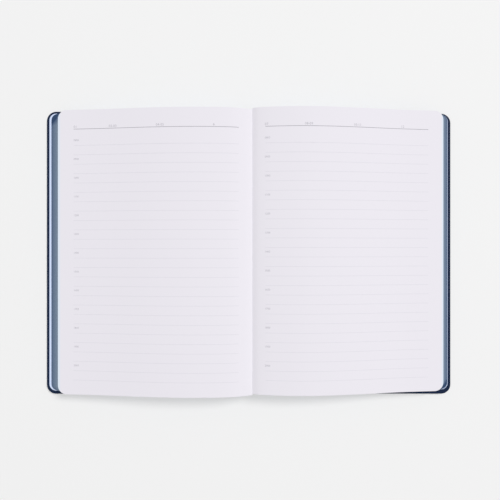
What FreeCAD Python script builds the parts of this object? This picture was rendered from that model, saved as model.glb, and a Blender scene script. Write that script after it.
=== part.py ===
import FreeCAD, Part
import math
import os

# A flexible-covered logbook lying open near its middle. Millimetres, +X to the reader's right,
# +Y to the head of the book, +Z up. The covers lie on the table at z = 0 and the origin is the
# middle of the open case. Distances named "reach" run from the opening (the gutter) outwards.

# cover
cover_width = 308.4        # open case, fore-edge to fore-edge
cover_height = 215.0       # head to tail
cover_radius = 7.2         # outer corners
cover_thick = 1.8          # wrap and board together
wrap_thick = 0.4           # floor of the cover's wrap
turn_in = 4.0              # width of the wrap's turned-in rim
endpaper_margin = 1.8      # navy border left round each pastedown
endpaper_thick = 0.2

# spine and hinges
hinge_span = 14.0          # between the two hinge lines
hinge_play = 1.1           # from a hinge line to a panel, a section or the spine strip
strip_thick = 0.3          # the wrap where it bends

# text block
fore_edge_square = 2.8     # cover showing beyond the lowest leaves at the fore-edge
head_square = 2.5          # and at the head and tail
page_radius = 6.6
gutter_x = 2.1             # the opening, right of the case's middle
left_block = 5.9           # stack of sections under the left page
right_block = 4.9          # stack of sections under the right page
section_count = 3          # on each side
slip_gap = 0.3             # between pieces that slide on each other
left_skew = 0.5            # the leaves sit a little toward the head of the case,
right_skew = 1.4           # the right half more than the left

# arched leaves at the opening
loose_leaves = 6           # under each top leaf
leaf_thick = 0.12
leaf_pitch = 0.18
top_leaf_thick = 0.2
fold_reach = 0.2           # where a top leaf starts
lining_thick = 0.5
lining_apex = 6.6

# arch of each open page: share of the leaf's width, and millimetres above its fore-edge
LEFT_ARCH = [(0.035, 4.3), (0.112, 6.5), (0.266, 7.4), (0.406, 6.9), (0.545, 5.5), (0.734, 2.8),
             (0.888, 1.0), (1.009, 0.0)]
RIGHT_ARCH = [(0.035, 4.8), (0.098, 6.5), (0.252, 7.9), (0.392, 7.2), (0.531, 5.4), (0.755, 1.9),
              (0.895, 0.7), (1.001, 0.0)]
left_fold_rise = 2.6       # the fold above each page's fore-edge
right_fold_rise = 3.6

# derived sizes
panel_inner = hinge_span / 2 + hinge_play
panel_outer = cover_width / 2
leaf_width = panel_outer - panel_inner - fore_edge_square
page_height = cover_height - 2 * head_square
inner_face = cover_thick + endpaper_thick
block_base = inner_face + endpaper_thick
SIDES = {"left": -1, "right": 1}
BLOCK = {"left": left_block, "right": right_block}
ARCH = {"left": LEFT_ARCH, "right": RIGHT_ARCH}
FOLD = {"left": left_fold_rise, "right": right_fold_rise}
SKEW = {"left": left_skew, "right": right_skew}
COVER = {"left": "front", "right": "back"}


def save(node, shape):
    shape.exportStep("parts/" + node + ".step")


def slab(x0, x1, height, z0, z1, radius, y=0.0):
    """A plate from x0 to x1, with its two corners at x1 rounded."""
    box = Part.makeBox(abs(x1 - x0), height, z1 - z0,
                       FreeCAD.Vector(min(x0, x1), y - height / 2, z0))
    corners = [e for e in box.Edges
               if abs(e.BoundBox.XMin - x1) < 1e-6 and abs(e.BoundBox.XMax - x1) < 1e-6
               and e.BoundBox.ZLength > 0.9 * (z1 - z0)]
    return box.makeFillet(radius, corners)


def cover_wrap(side):
    """The navy skin: a shallow tray whose rim is the turned-in edge."""
    s = SIDES[side]
    outer = slab(s * panel_inner, s * panel_outer, cover_height, 0, cover_thick, cover_radius)
    hollow = slab(s * (panel_inner + turn_in / 2), s * (panel_outer - turn_in),
                  cover_height - 2 * turn_in, wrap_thick, cover_thick, cover_radius - turn_in / 2)
    return outer.cut(hollow)


def cover_board(side):
    """The flexible card that fills the tray."""
    s = SIDES[side]
    return slab(s * (panel_inner + turn_in / 2), s * (panel_outer - turn_in),
                cover_height - 2 * turn_in, wrap_thick, cover_thick, cover_radius - turn_in / 2)


def pastedown(side):
    s = SIDES[side]
    return slab(s * panel_inner, s * (panel_outer - endpaper_margin),
                cover_height - 2 * endpaper_margin, cover_thick, inner_face,
                cover_radius - endpaper_margin)


def flyleaf(side):
    """The endpaper's free half, the same size as a leaf."""
    s = SIDES[side]
    return slab(s * panel_inner, s * (panel_inner + leaf_width), page_height,
                inner_face, block_base, page_radius, SKEW[side])


def slip(side):
    """How far each layer lies over the one below, so that all line up when the book shuts."""
    return (panel_inner - SIDES[side] * gutter_x - fold_reach) / section_count


def section_levels(side, n):
    """Lower and upper face of section n, counted from the cover."""
    thick = (BLOCK[side] - (section_count - 1) * slip_gap) / section_count
    low = block_base + n * (thick + slip_gap)
    return low, low + thick


def section(side, n):
    """One sewn section, lying n slips nearer the gutter than the first."""
    s = SIDES[side]
    low, high = section_levels(side, n)
    inner = panel_inner - n * slip(side)
    return slab(s * inner, s * (inner + leaf_width), page_height, low, high,
                page_radius, SKEW[side])


def sheet(side, points, thick):
    """A curved sheet whose underside runs through (reach, height) points."""
    s = SIDES[side]

    def curve(lift):
        spline = Part.BSplineCurve()
        spline.interpolate([FreeCAD.Vector(gutter_x + s * u, -page_height, z + lift)
                            for u, z in points])
        return spline.toShape()

    low, high = curve(0.0), curve(thick)
    ends = [Part.makeLine(low.valueAt(low.ParameterRange[n]), high.valueAt(high.ParameterRange[n]))
            for n in (0, 1)]
    face = Part.Face(Part.Wire([low, ends[1], high, ends[0]]))
    solid = face.extrude(FreeCAD.Vector(0, 2 * page_height, 0))
    outline = slab(gutter_x + s * points[0][0], gutter_x + s * points[-1][0], page_height,
                   0, 30, page_radius, SKEW[side])
    return solid.common(outline)


def loose_base(side):
    """Underside of the lowest loose leaf at its fore-edge."""
    return section_levels(side, section_count - 1)[1] + slip_gap


def page_points(side):
    """The open page's reach and height, from its fold to its fore-edge."""
    rim = loose_base(side) + (loose_leaves - 1) * leaf_pitch + leaf_thick + slip_gap
    points = [(share * leaf_width, rim + rise) for share, rise in ARCH[side]]
    return [(fold_reach, rim + FOLD[side])] + points


def loose_group(side):
    """Leaves that fan from the top section up to the open page."""
    page = page_points(side)
    top = loose_base(side)
    inner = slip(side) + fold_reach
    outer = inner + leaf_width
    rim, solids = page[-1][1], []
    for n in range(loose_leaves):
        share = (n + 1) / (loose_leaves + 1)
        first = inner + (page[0][0] - inner) * share
        last = outer + (page[-1][0] - outer) * share
        points = []
        for u, z in page:
            along = (u - page[0][0]) / (page[-1][0] - page[0][0])
            points.append((first + along * (last - first),
                           top + n * leaf_pitch + share * (z - rim)))
        solids.append(sheet(side, points, leaf_thick))
    return Part.makeCompound(solids)


def top_leaf(side):
    return sheet(side, page_points(side), top_leaf_thick)


def spine_wrap():
    half = hinge_span / 2 - hinge_play
    return Part.makeBox(2 * half, cover_height, wrap_thick,
                        FreeCAD.Vector(-half, -cover_height / 2, 0))


def spine_board():
    half = hinge_span / 2 - hinge_play
    return Part.makeBox(2 * half, cover_height, cover_thick - wrap_thick,
                        FreeCAD.Vector(-half, -cover_height / 2, wrap_thick))


def joint_strip(side):
    """The wrap between a panel and the spine, where the cover bends."""
    s = SIDES[side]
    near, far = hinge_span / 2 - hinge_play, panel_inner
    return Part.makeBox(far - near, cover_height, strip_thick,
                        FreeCAD.Vector(min(s * near, s * far), -cover_height / 2, 0))


def spine_lining():
    """The folded hollow between the spine board and the sewn folds."""
    half = hinge_span / 2 - hinge_play - 0.5
    peak = gutter_x - 0.8

    def line(drop):
        return [FreeCAD.Vector(-half + drop, -page_height / 2, cover_thick),
                FreeCAD.Vector(peak, -page_height / 2, lining_apex - drop),
                FreeCAD.Vector(half - drop, -page_height / 2, cover_thick)]

    outer, inner = line(0.0), line(lining_thick)
    wire = Part.makePolygon(outer + inner[::-1] + outer[:1])
    return Part.Face(wire).extrude(FreeCAD.Vector(0, page_height, 0))


def build():
    os.makedirs("parts", exist_ok=True)
    for side, cover in COVER.items():
        save(cover + "_cover_wrap", cover_wrap(side))
        save(cover + "_cover_board", cover_board(side))
        save(cover + "_pastedown", pastedown(side))
        save(cover + "_flyleaf", flyleaf(side))
        save(cover + "_joint_strip", joint_strip(side))
        for n in range(section_count):
            save(side + "_section_" + str(n + 1), section(side, n))
        save(side + "_loose_leaves", loose_group(side))
        save(side + "_page", top_leaf(side))
    save("spine_wrap", spine_wrap())
    save("spine_board", spine_board())
    save("spine_lining", spine_lining())


build()
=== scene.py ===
import math
import random

import bmesh
import bpy
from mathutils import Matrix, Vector


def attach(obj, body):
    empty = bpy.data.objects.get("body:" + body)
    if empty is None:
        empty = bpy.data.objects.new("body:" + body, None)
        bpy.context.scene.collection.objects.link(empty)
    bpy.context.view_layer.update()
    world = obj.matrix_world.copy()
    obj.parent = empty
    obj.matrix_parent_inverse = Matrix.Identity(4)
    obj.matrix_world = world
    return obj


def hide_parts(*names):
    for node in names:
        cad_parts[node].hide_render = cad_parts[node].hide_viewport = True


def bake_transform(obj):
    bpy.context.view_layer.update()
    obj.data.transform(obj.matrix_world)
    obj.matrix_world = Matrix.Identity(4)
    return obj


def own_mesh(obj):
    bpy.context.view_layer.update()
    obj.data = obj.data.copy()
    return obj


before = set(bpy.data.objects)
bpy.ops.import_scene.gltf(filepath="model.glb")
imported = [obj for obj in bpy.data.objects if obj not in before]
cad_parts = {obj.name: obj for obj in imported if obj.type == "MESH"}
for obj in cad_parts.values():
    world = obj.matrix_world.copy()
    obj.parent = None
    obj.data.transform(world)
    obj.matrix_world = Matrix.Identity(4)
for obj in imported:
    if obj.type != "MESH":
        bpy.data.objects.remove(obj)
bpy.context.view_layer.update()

# A flexible-covered logbook, open near its middle. Sizes are in millimetres and "reach" is the
# distance from the gutter outwards; finished meshes are scaled to metres.
MM = 0.001
SIDES = {"left": -1, "right": 1}
COVER_BODY = {"left": "front_cover", "right": "back_cover"}
COVER_NODE = {"left": "front", "right": "back"}

COVER_HEIGHT = 215.0
COVER_OUTER = 154.3
COVER_THICK = 1.8
COVER_RADIUS = 7.2
PANEL_INNER = 8.1
SPINE_HALF = 5.9
RIM_EASE = {"cover": 0.3, "spine": 0.4}
JOINT_OVERLAP = 0.4        # how far a joint strip runs under the spine and the cover
JOINT_LOW, JOINT_HIGH = 0.05, 0.8
JOINT_CUTS, JOINT_STEP = 9, 0.275
LINING_THICK = 0.4
LINING_PATH = [(-5.4, 1.8), (-4.6, 3.2), (-3.2, 5.0), (-1.0, 7.2), (1.3, 8.6), (2.6, 7.2),
               (3.8, 5.2), (4.8, 3.4), (5.4, 1.8)]
ENDPAPER_MARGIN = {"left": 2.15, "right": 2.4}
ENDPAPER_TOP = 2.0
LEAN = {"left": 0.0, "right": 0.8}    # how far the fore-edge lies toward the tail

GUTTER_X = 2.1
PAGE_HEIGHT = 210.0
PAGE_RADIUS = 6.6
FIRST_RADIUS = 4.8         # the lowest leaves' corners, which fan out
SKEW = {"left": 0.5, "right": 1.4}     # how far the leaves lie toward the head
FIRST_SKEW = {"left": 0.5, "right": 0.7}      # the same for the lowest leaves
ENDPAPER_SKEW = {"left": 0.5, "right": 1.2}   # and for the pastedown
BLOCK_BASE = 2.2
SECTIONS = 3
SLIP_GAP = 0.3
TOP_EXTRA = 0.25           # the top section reaches this much nearer the open page
BLOCK = {"left": 5.9, "right": 4.9}
FIRST_FOLD = {"left": 10.6, "right": 6.4}
FIRST_EDGE = {"left": 152.7, "right": 149.45}
TOP_EDGE = {"left": 143.8, "right": 143.4}
TOP_FOLD = 0.6             # the top section's fold, from the gutter
LAYERS = 6
LAYER_FILL = 0.9           # of each layer's step, so that fine lines show between leaves
LAYER_WOBBLE = 0.12
LOOSE = 16
LOOSE_FILL = 0.85
LOOSE_FOLD = 0.1
LOOSE_THICK = 0.09
LOOSE_WOBBLE = 0.1
LOOSE_CLEAR = 0.05
SHEET_INSET = 0.2          # the leaves under the open page, at the fore-edge
PAGE_THICK = 0.14
RIM = {"left": 9.72, "right": 7.8}
ARCH = {
    "left": [(0.0, 12.3), (5.0, 14.0), (16.0, 16.2), (38.1, 17.1), (58.2, 16.6), (78.1, 15.2),
             (105.2, 12.5), (127.3, 10.7), (143.8, 9.72)],
    "right": [(0.0, 12.2), (4.0, 13.8), (14.0, 15.3), (36.1, 16.6), (56.2, 15.9), (76.1, 14.1),
              (108.2, 10.3), (128.3, 8.7), (143.4, 7.8)],
}

# ---------------------------------------------------------------- colours and materials


def colour(hex_code):
    """An sRGB hex colour as the linear values a shader socket takes."""
    parts = [int(hex_code[n:n + 2], 16) / 255 for n in (1, 3, 5)]
    linear = [c / 12.92 if c <= 0.04045 else ((c + 0.055) / 1.055) ** 2.4 for c in parts]
    return (*linear, 1.0)


def add(tree, kind, settings=(), links=()):
    """A node with its settings (input name or property, value) and links (input, output)."""
    node = tree.nodes.new(kind)
    for name, value in dict(settings).items():
        if isinstance(name, int) or name in node.inputs:
            node.inputs[name].default_value = value
        else:
            setattr(node, name, value)
    for name, output in dict(links).items():
        tree.links.new(node.inputs[name], output)
    return node


def new_material(name, base, roughness, **sockets):
    material = bpy.data.materials.new(name)
    material.use_nodes = True
    tree = material.node_tree
    shader = tree.nodes["Principled BSDF"]
    shader.inputs["Base Color"].default_value = colour(base)
    shader.inputs["Roughness"].default_value = roughness
    for socket, value in sockets.items():
        shader.inputs[socket.replace("_", " ")].default_value = value
    return material, tree, shader


def leatherette():
    """Navy polyurethane leatherette, rolled with a fine pebble grain: a soft, low sheen."""
    material, tree, shader = new_material("navy_leatherette", "#10223f", 0.6, IOR=1.5,
                                          Specular_IOR_Level=0.15)
    place = add(tree, "ShaderNodeTexCoord")
    grain_mm = 0.9
    pebble = add(tree, "ShaderNodeTexVoronoi", {"Scale": 1 / (grain_mm * MM)},
                 {"Vector": place.outputs["Object"]})
    bump = add(tree, "ShaderNodeBump", {"Strength": 0.15, "Distance": 0.08 * MM},
               {"Height": pebble.outputs["Distance"]})
    tree.links.new(shader.inputs["Normal"], bump.outputs["Normal"])
    return material


def uncoated(name, base, rim_highlight=None):
    """Uncoated stock with a faint mottle.

    rim_highlight is the pale blue of a painted highlight along the page's outer margin.
    """
    material, tree, shader = new_material(name, base, 0.9, IOR=1.45, Specular_IOR_Level=0.2)
    place = add(tree, "ShaderNodeTexCoord")
    if rim_highlight:
        # paints a pale blue highlight along the outer margin, 141.6 to 143.0 mm from the gutter
        across = add(tree, "ShaderNodeSeparateXYZ", (), {"Vector": place.outputs["Object"]})
        reach = add(tree, "ShaderNodeMath", {"operation": "SUBTRACT", 1: GUTTER_X * MM},
                    {0: across.outputs["X"]})
        size = add(tree, "ShaderNodeMath", {"operation": "ABSOLUTE"}, {0: reach.outputs["Value"]})
        margin = add(tree, "ShaderNodeMapRange", {"From Min": 141.6 * MM, "From Max": 143.0 * MM},
                     {"Value": size.outputs["Value"]})
        tint = add(tree, "ShaderNodeValToRGB", (), {"Fac": margin.outputs["Result"]})
        tint.color_ramp.elements[0].color = colour(base)
        tint.color_ramp.elements[1].color = colour(rim_highlight)
        tree.links.new(shader.inputs["Base Color"], tint.outputs["Color"])
    mottle_mm = 2.5
    fibres = add(tree, "ShaderNodeTexNoise",
                 {"Scale": 1 / (mottle_mm * MM), "Detail": 5.0, "Roughness": 0.7},
                 {"Vector": place.outputs["Object"]})
    bump = add(tree, "ShaderNodeBump", {"Strength": 0.12, "Distance": 0.04 * MM},
               {"Height": fibres.outputs["Fac"]})
    tree.links.new(shader.inputs["Normal"], bump.outputs["Normal"])
    return material


def painted_edge():
    """Leaf edges brushed with slate-blue stain; each leaf takes it a little differently. Painted
    shade darkens two of the rounded corners.
    """
    material, tree, shader = new_material("stained_leaf_edges_and_painted_shade", "#64788f", 0.7, IOR=1.45)
    place = add(tree, "ShaderNodeTexCoord")
    # a leaf is 0.1 mm thick; the streaks are drawn at three leaves so that they show
    streak = add(tree, "ShaderNodeMapping", {"Scale": (8, 8, 1 / (0.33 * MM))},
                 {"Vector": place.outputs["Object"]})
    uneven = add(tree, "ShaderNodeTexNoise", {"Scale": 1.0, "Detail": 3.0},
                 {"Vector": streak.outputs["Vector"]})
    # the edge colour is drawn darker toward the lowest leaves and lighter toward the upper ones
    height = add(tree, "ShaderNodeSeparateXYZ", (), {"Vector": place.outputs["Object"]})
    rise = add(tree, "ShaderNodeMapRange", {"From Min": 2.0 * MM, "From Max": 9.0 * MM},
               {"Value": height.outputs["Z"]})
    blend = add(tree, "ShaderNodeMath", {"operation": "MULTIPLY_ADD", 1: 0.3},
                {0: uneven.outputs["Fac"], 2: rise.outputs["Result"]})
    # painted shade darkens two of the rounded corners, left at the head and right at the tail
    away = add(tree, "ShaderNodeMath", {"operation": "ABSOLUTE"}, {0: height.outputs["Y"]})
    corner = add(tree, "ShaderNodeMapRange", {"From Min": 96 * MM, "From Max": 101 * MM,
                                              "To Min": 0.0, "To Max": 0.75},
                 {"Value": away.outputs["Value"]})
    end = add(tree, "ShaderNodeMath", {"operation": "SIGN"}, {0: height.outputs["Y"]})
    outer = add(tree, "ShaderNodeMath", {"operation": "MULTIPLY"},
                {0: height.outputs["X"], 1: end.outputs["Value"]})
    fore = add(tree, "ShaderNodeMapRange", {"From Min": -136 * MM, "From Max": -141 * MM},
               {"Value": outer.outputs["Value"]})
    corner_shade = add(tree, "ShaderNodeMath", {"operation": "MULTIPLY"},
                 {0: corner.outputs["Result"], 1: fore.outputs["Result"]})
    # the painted corner shade is taken off the stain's tone here
    stain_and_shade = add(tree, "ShaderNodeMath", {"operation": "SUBTRACT", "use_clamp": True},
                {0: blend.outputs["Value"], 1: corner_shade.outputs["Value"]})
    ramp = add(tree, "ShaderNodeValToRGB", (), {"Fac": stain_and_shade.outputs["Value"]})
    ramp.color_ramp.elements[0].color = colour("#223f63")
    ramp.color_ramp.elements[1].color = colour("#8597ab")
    middle = ramp.color_ramp.elements.new(0.15)
    middle.color = colour("#445a7a")
    tree.links.new(shader.inputs["Base Color"], ramp.outputs["Color"])
    return material


LEATHERETTE = leatherette()
PAGE = uncoated("page_paper", "#ece9f0", rim_highlight="#dfe9f6")
ENDPAPER = uncoated("ice_blue_endpaper", "#d3e0fb")
EDGE = painted_edge()
MULL = uncoated("mull_lining", "#d8d6d0")
INK = new_material("grey_ink", "#a8a6ae", 0.8)[0]
RULE_INK = new_material("pale_rule_ink", "#dddbe3", 0.8)[0]
LABEL_INK = new_material("pale_label_ink", "#bdbbc3", 0.8)[0]

# ---------------------------------------------------------------- shapes

CRISP_ANGLE = math.radians(35)


def plate(x0, x1, height, z0, z1, radius, y=0.0, rim=0.0):
    """A flat plate from x0 to x1 with its corners at x1 rounded, and its rims eased by rim."""
    bm = bmesh.new()
    bmesh.ops.create_cube(bm, size=1.0)
    bmesh.ops.scale(bm, vec=(abs(x1 - x0), height, z1 - z0), verts=bm.verts)
    bmesh.ops.translate(bm, vec=((x0 + x1) / 2, y, (z0 + z1) / 2), verts=bm.verts)
    if radius:
        corners = [e for e in bm.edges
                   if all(abs(v.co.x - x1) < 1e-4 for v in e.verts)
                   and abs(e.verts[0].co.z - e.verts[1].co.z) > 1e-4]
        bmesh.ops.bevel(bm, geom=corners, offset=radius, segments=8, profile=0.5,
                        affect="EDGES", material=-1)
    if rim:
        outline = [e for e in bm.edges
                   if len({round(f.normal.z, 2) for f in e.link_faces}) == 2
                   and any(abs(f.normal.z) > 0.9 for f in e.link_faces)]
        bmesh.ops.bevel(bm, geom=outline, offset=rim, segments=2, profile=0.5,
                        affect="EDGES", material=-1)
    return bm


def cross_cut(bm, positions):
    """Cuts across the plate at each x, so that it can bend there."""
    for x in positions:
        bmesh.ops.bisect_plane(bm, geom=bm.verts[:] + bm.edges[:] + bm.faces[:],
                               plane_co=(x, 0, 0), plane_no=(1, 0, 0))


def finish_mesh(name, parts, materials):
    """One object in metres at the origin, made of the parts' meshes, with crisp edges."""
    mesh = bpy.data.meshes.new(name)
    whole = bmesh.new()
    for bm in parts:
        piece = bpy.data.meshes.new(name + "_part")
        bm.to_mesh(piece)
        bm.free()
        whole.from_mesh(piece)
        bpy.data.meshes.remove(piece)
    bmesh.ops.scale(whole, vec=(MM, MM, MM), verts=whole.verts)
    whole.normal_update()
    for edge in whole.edges:
        edge.smooth = edge.is_manifold and edge.calc_face_angle(0) < CRISP_ANGLE
    whole.to_mesh(mesh)
    whole.free()
    for material in materials:
        mesh.materials.append(material)
    obj = bpy.data.objects.new(name, mesh)
    bpy.context.scene.collection.objects.link(obj)
    return obj


def page_height_at(side, reach):
    """Height of the open page over the table, a smooth curve through the arch's points."""
    points = ARCH[side]
    reach = min(max(reach, points[0][0]), points[-1][0])
    n = max(i for i in range(len(points) - 1) if points[i][0] <= reach)
    (u0, z0), (u1, z1) = points[n], points[n + 1]

    def slope(i):
        a, b = points[max(i - 1, 0)], points[min(i + 1, len(points) - 1)]
        return (b[1] - a[1]) / (b[0] - a[0])

    t, run = (reach - u0) / (u1 - u0), u1 - u0
    return ((2 * t**3 - 3 * t**2 + 1) * z0 + (t**3 - 2 * t**2 + t) * run * slope(n)
            + (3 * t**2 - 2 * t**3) * z1 + (t**3 - t**2) * run * slope(n + 1))


BEND_REACHES = [0.8, 1.8, 3, 4.5, 6.5, 9, 12, 15.5, 19, 23, 27, 32, 37, 42, 48, 54, 60, 67, 74,
                81, 88, 95, 102, 109, 116, 123, 130]


def bent_leaf(side, share, inner, outer, base, thick, share_top=None):
    """A leaf that rises from base by a share of the open page's arch, or a bundle of leaves whose
    upper side rises by share_top of it."""
    s = SIDES[side]
    bm = plate(GUTTER_X + s * inner, GUTTER_X + s * outer, PAGE_HEIGHT, 0, thick,
               PAGE_RADIUS, SKEW[side])
    cross_cut(bm, [GUTTER_X + s * (inner + u) for u in BEND_REACHES])
    for face in bm.faces:
        face.material_index = 0 if abs(face.normal.z) > 0.5 else 1
        face.smooth = abs(face.normal.z) > 0.5
    for v in bm.verts:
        along = (s * (v.co.x - GUTTER_X) - inner) / (outer - inner)
        rise = page_height_at(side, along * ARCH[side][-1][0]) - RIM[side]
        v.co.z += base + (share_top if share_top and v.co.z > thick / 2 else share) * rise
    return bm


# ---------------------------------------------------------------- the case


def lean(bm, side):
    """Shifts a cover piece toward the tail, by more the further it is from the spine."""
    for v in bm.verts:
        v.co.y -= LEAN[side] * (abs(v.co.x) - PANEL_INNER) / (COVER_OUTER - PANEL_INNER)
    return bm


def build_cover(side):
    s, body, cover = SIDES[side], COVER_BODY[side], COVER_NODE[side]
    wrap = finish_mesh(cover + "_wrap", [
        lean(plate(s * PANEL_INNER, s * COVER_OUTER, COVER_HEIGHT, 0, COVER_THICK, COVER_RADIUS,
                   rim=RIM_EASE["cover"]), side)], [LEATHERETTE])
    pasted = finish_mesh(cover + "_endpaper", [
        lean(plate(s * PANEL_INNER, s * (COVER_OUTER - ENDPAPER_MARGIN[side]),
                   COVER_HEIGHT - 2 * ENDPAPER_MARGIN[side], COVER_THICK, ENDPAPER_TOP,
                   COVER_RADIUS - ENDPAPER_MARGIN[side], ENDPAPER_SKEW[side]), side)],
        [ENDPAPER])
    free = finish_mesh(cover + "_free_endpaper", [
        plate(s * PANEL_INNER, GUTTER_X + s * (FIRST_EDGE[side] + 0.1), PAGE_HEIGHT,
              ENDPAPER_TOP, BLOCK_BASE, FIRST_RADIUS, FIRST_SKEW[side])], [ENDPAPER])
    for piece, node, slot in ((wrap, "_cover_wrap", "cover_navy"),
                              (pasted, "_pastedown", "endpaper_blue"),
                              (free, "_flyleaf", "endpaper_blue")):
        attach(piece, body)
        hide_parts(cover + node)
    joint = plate(s * (SPINE_HALF - JOINT_OVERLAP), s * (PANEL_INNER + JOINT_OVERLAP),
                  COVER_HEIGHT - 0.6, JOINT_LOW, JOINT_HIGH, 0)
    cross_cut(joint, [s * (SPINE_HALF + JOINT_STEP * n) for n in range(JOINT_CUTS)])
    strip = finish_mesh(cover + "_joint", [joint], [LEATHERETTE])
    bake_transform(strip)
    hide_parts(cover + "_joint_strip")


def build_spine():
    spine = finish_mesh("spine_strip", [
        plate(-SPINE_HALF, SPINE_HALF, COVER_HEIGHT, 0, COVER_THICK, 0,
              rim=RIM_EASE["spine"])], [LEATHERETTE])
    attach(spine, "spine")
    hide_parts("spine_wrap", "spine_board")
    # the lining is a strip of mull folded up under the sewn folds
    bm = bmesh.new()
    verts = [bmesh.ops.create_vert(bm, co=(x, -PAGE_HEIGHT / 2, z))["vert"][0]
             for x, z in LINING_PATH]
    edges = [bm.edges.new(pair) for pair in zip(verts, verts[1:])]
    grown = bmesh.ops.extrude_edge_only(bm, edges=edges)["geom"]
    bmesh.ops.translate(bm, vec=(0, PAGE_HEIGHT, 0),
                        verts=[g for g in grown if isinstance(g, bmesh.types.BMVert)])
    bmesh.ops.recalc_face_normals(bm, faces=bm.faces)
    bmesh.ops.solidify(bm, geom=bm.faces[:], thickness=LINING_THICK)
    bmesh.ops.recalc_face_normals(bm, faces=bm.faces)
    lining = finish_mesh("spine_hollow", [bm], [MULL])
    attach(lining, "spine")
    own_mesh(lining)
    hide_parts("spine_lining")


# ---------------------------------------------------------------- the text block


def section_levels(side, n):
    """Lower and upper face of section n, counted from the cover."""
    thick = (BLOCK[side] - (SECTIONS - 1) * SLIP_GAP) / SECTIONS
    low = BLOCK_BASE + n * (thick + SLIP_GAP)
    return low, low + thick + (SLIP_GAP if n < SECTIONS - 1 else TOP_EXTRA)


def build_sections(side, rng):
    s = SIDES[side]
    top = section_levels(side, SECTIONS - 1)[1]
    for n in range(SECTIONS):
        low, high = section_levels(side, n)
        step = (high - low) / LAYERS
        parts = []
        for k in range(LAYERS):
            z = low + k * step
            share = (z + step / 2 - BLOCK_BASE) / (top - BLOCK_BASE)
            wobble = rng.uniform(-LAYER_WOBBLE, LAYER_WOBBLE)
            inner = FIRST_FOLD[side] * (1 - share) + TOP_FOLD * share
            outer = (FIRST_EDGE[side] * (1 - share)
                     + (TOP_EDGE[side] - SHEET_INSET) * share) + wobble
            parts.append(plate(GUTTER_X + s * inner, GUTTER_X + s * outer,
                               PAGE_HEIGHT - abs(wobble), z, z + LAYER_FILL * step,
                               FIRST_RADIUS * (1 - share) + PAGE_RADIUS * share,
                               FIRST_SKEW[side] * (1 - share) + SKEW[side] * share))
        leaves = finish_mesh(f"{side}_section_{n + 1}_leaves", parts, [EDGE])
        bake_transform(leaves)
        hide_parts(f"{side}_section_{n + 1}")


def flatten(piece):
    """Gives the piece a mesh of its own."""
    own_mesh(piece)


def build_loose(side, rng):
    base = section_levels(side, SECTIONS - 1)[1] + LOOSE_CLEAR
    pitch = (RIM[side] - base) / LOOSE
    parts = []
    for n in range(LOOSE):
        share = n / LOOSE
        outer = (TOP_EDGE[side] - SHEET_INSET * (1 - share)
                 + rng.uniform(-LOOSE_WOBBLE, LOOSE_WOBBLE))
        parts.append(bent_leaf(side, share, LOOSE_FOLD, outer, base + n * pitch, LOOSE_THICK,
                               (n + LOOSE_FILL) / LOOSE))
    loose = finish_mesh(side + "_loose_sheets", parts, [PAGE, EDGE])
    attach(loose, side + "_leaves")
    flatten(loose)
    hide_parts(side + "_loose_leaves")


def build_page(side):
    page = finish_mesh(side + "_open_page", [
        bent_leaf(side, 1.0, 0.0, TOP_EDGE[side], RIM[side], PAGE_THICK)], [PAGE, EDGE])
    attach(page, side + "_page")
    flatten(page)
    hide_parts(side + "_page")


# ---------------------------------------------------------------- print on the pages

HEAD_LINE_Y = 90.8
ROW_PITCH = 6.92
FIRST_ROW_Y = 78.7
ROWS = 26
PRINT_X = {"left": (-131.9, -10.0), "right": (9.5, 131.7)}     # from the gutter
HEADS = {"left": (-131.9, -105.3, -70.0, -28.5), "right": (9.0, 38.0, 74.0, 110.5)}
HEAD_TEXT = {"left": ("01", "02-03", "04-05", "6"), "right": ("07", "08-09", "10-11", "12")}
HEAD_LINE_WIDTH, RULE_WIDTH = 0.35, 0.2
HEAD_SIZE, LABEL_SIZE = 2.6, 2.0
HEAD_RISE, LABEL_RISE = 0.8, 3.2
LABELS, FIRST_HOUR = 13, 8
INK_LIFT = 0.03


def drape(bm, side):
    """Lays flat print on the open page."""
    for v in bm.verts:
        v.co.z += (page_height_at(side, SIDES[side] * (v.co.x - GUTTER_X)) + PAGE_THICK
                   + INK_LIFT)
    return bm


def printed_line(side, y, width, index):
    low, high = PRINT_X[side]
    bm = bmesh.new()
    bmesh.ops.create_grid(bm, x_segments=60, y_segments=1, size=0.5)
    bmesh.ops.scale(bm, vec=(high - low, width, 1), verts=bm.verts)
    bmesh.ops.translate(bm, vec=(GUTTER_X + (low + high) / 2, y + SKEW[side], 0),
                        verts=bm.verts)
    for face in bm.faces:
        face.material_index = index
    return drape(bm, side)


def numeral(side, text, x, y, size):
    """Flat figures on the page."""
    curve = bpy.data.curves.new("numeral", "FONT")
    curve.body, curve.size, curve.resolution_u = text, size, 2
    holder = bpy.data.objects.new("numeral", curve)
    bpy.context.scene.collection.objects.link(holder)
    bpy.context.view_layer.update()
    mesh = bpy.data.meshes.new_from_object(holder)
    bpy.data.objects.remove(holder)
    bpy.data.curves.remove(curve)
    bm = bmesh.new()
    bm.from_mesh(mesh)
    bpy.data.meshes.remove(mesh)
    bmesh.ops.translate(bm, vec=(GUTTER_X + x, y + SKEW[side], 0), verts=bm.verts)
    for face in bm.faces:
        face.material_index = 2
    return drape(bm, side)


def build_print(side):
    parts = [printed_line(side, HEAD_LINE_Y, HEAD_LINE_WIDTH, 0)]
    parts += [printed_line(side, FIRST_ROW_Y - n * ROW_PITCH, RULE_WIDTH, 1) for n in range(ROWS)]
    parts += [numeral(side, text, x, HEAD_LINE_Y + HEAD_RISE, HEAD_SIZE)
              for text, x in zip(HEAD_TEXT[side], HEADS[side])]
    parts += [numeral(side, f"{n + FIRST_HOUR:02d}00", HEADS[side][0],
                      FIRST_ROW_Y + LABEL_RISE - 2 * n * ROW_PITCH, LABEL_SIZE)
              for n in range(LABELS)]
    ink = finish_mesh(side + "_print", parts, [INK, RULE_INK, LABEL_INK])
    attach(ink, side + "_page")
    flatten(ink)


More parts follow.
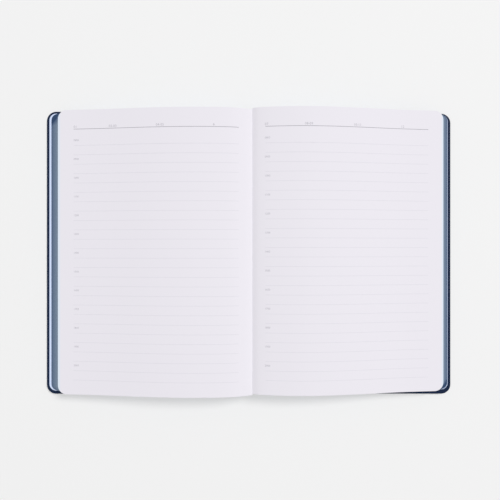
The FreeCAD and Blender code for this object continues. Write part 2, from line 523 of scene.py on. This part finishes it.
for side in SIDES:
    rng = random.Random(11 + SIDES[side])
    build_cover(side)
    build_sections(side, rng)
    build_loose(side, rng)
    build_page(side)
    build_print(side)
build_spine()

# ---------------------------------------------------------------- table, light and camera


def build_stage():
    bm = bmesh.new()
    bmesh.ops.create_grid(bm, x_segments=1, y_segments=1, size=3.0)
    mesh = bpy.data.meshes.new("table_top")
    bm.to_mesh(mesh)
    bm.free()
    table = bpy.data.objects.new("table_top", mesh)
    bpy.context.scene.collection.objects.link(table)
    table.location.z = -0.0002
    table.data.materials.append(new_material("matt_white_table", "#f4f4f4", 0.95)[0])


def area_light(name, place, target, size, power):
    data = bpy.data.lights.new(name, "AREA")
    data.shape, data.size, data.energy = "DISK", size, power
    light = bpy.data.objects.new(name, data)
    bpy.context.scene.collection.objects.link(light)
    light.location = place
    light.rotation_euler = (Vector(target) - Vector(place)).to_track_quat("-Z", "Y").to_euler()


CAMERA_HEIGHT = 280.0
CAMERA_X, CAMERA_Y = -1.5, 2.1
CAMERA_TURN = math.radians(0.4)
FIELD = 384.66           # width of the table that the camera takes in
SENSOR = 36.0
build_stage()
area_light("overhead", (0.2, 0.3, 6.0), (0, 0, 0), 1.8, 197.0)
area_light("key", (4.6, 4.2, 6.0), (0, 0, 0), 2.6, 270.0)
world = bpy.data.worlds.new("studio")
bpy.context.scene.world = world
world.use_nodes = True
world.node_tree.nodes["Background"].inputs["Color"].default_value = colour("#ffffff")
world.node_tree.nodes["Background"].inputs["Strength"].default_value = 0.2
bpy.context.scene.view_settings.view_transform = "Standard"

camera_data = bpy.data.cameras.new("camera")
camera_data.sensor_width = SENSOR
camera_data.lens = SENSOR * CAMERA_HEIGHT / FIELD
camera_data.clip_start = 0.01
camera = bpy.data.objects.new("camera", camera_data)
bpy.context.scene.collection.objects.link(camera)
camera.location = (CAMERA_X * MM, CAMERA_Y * MM, CAMERA_HEIGHT * MM)
camera.rotation_euler = (0, -CAMERA_TURN, 0)
bpy.context.scene.camera = camera
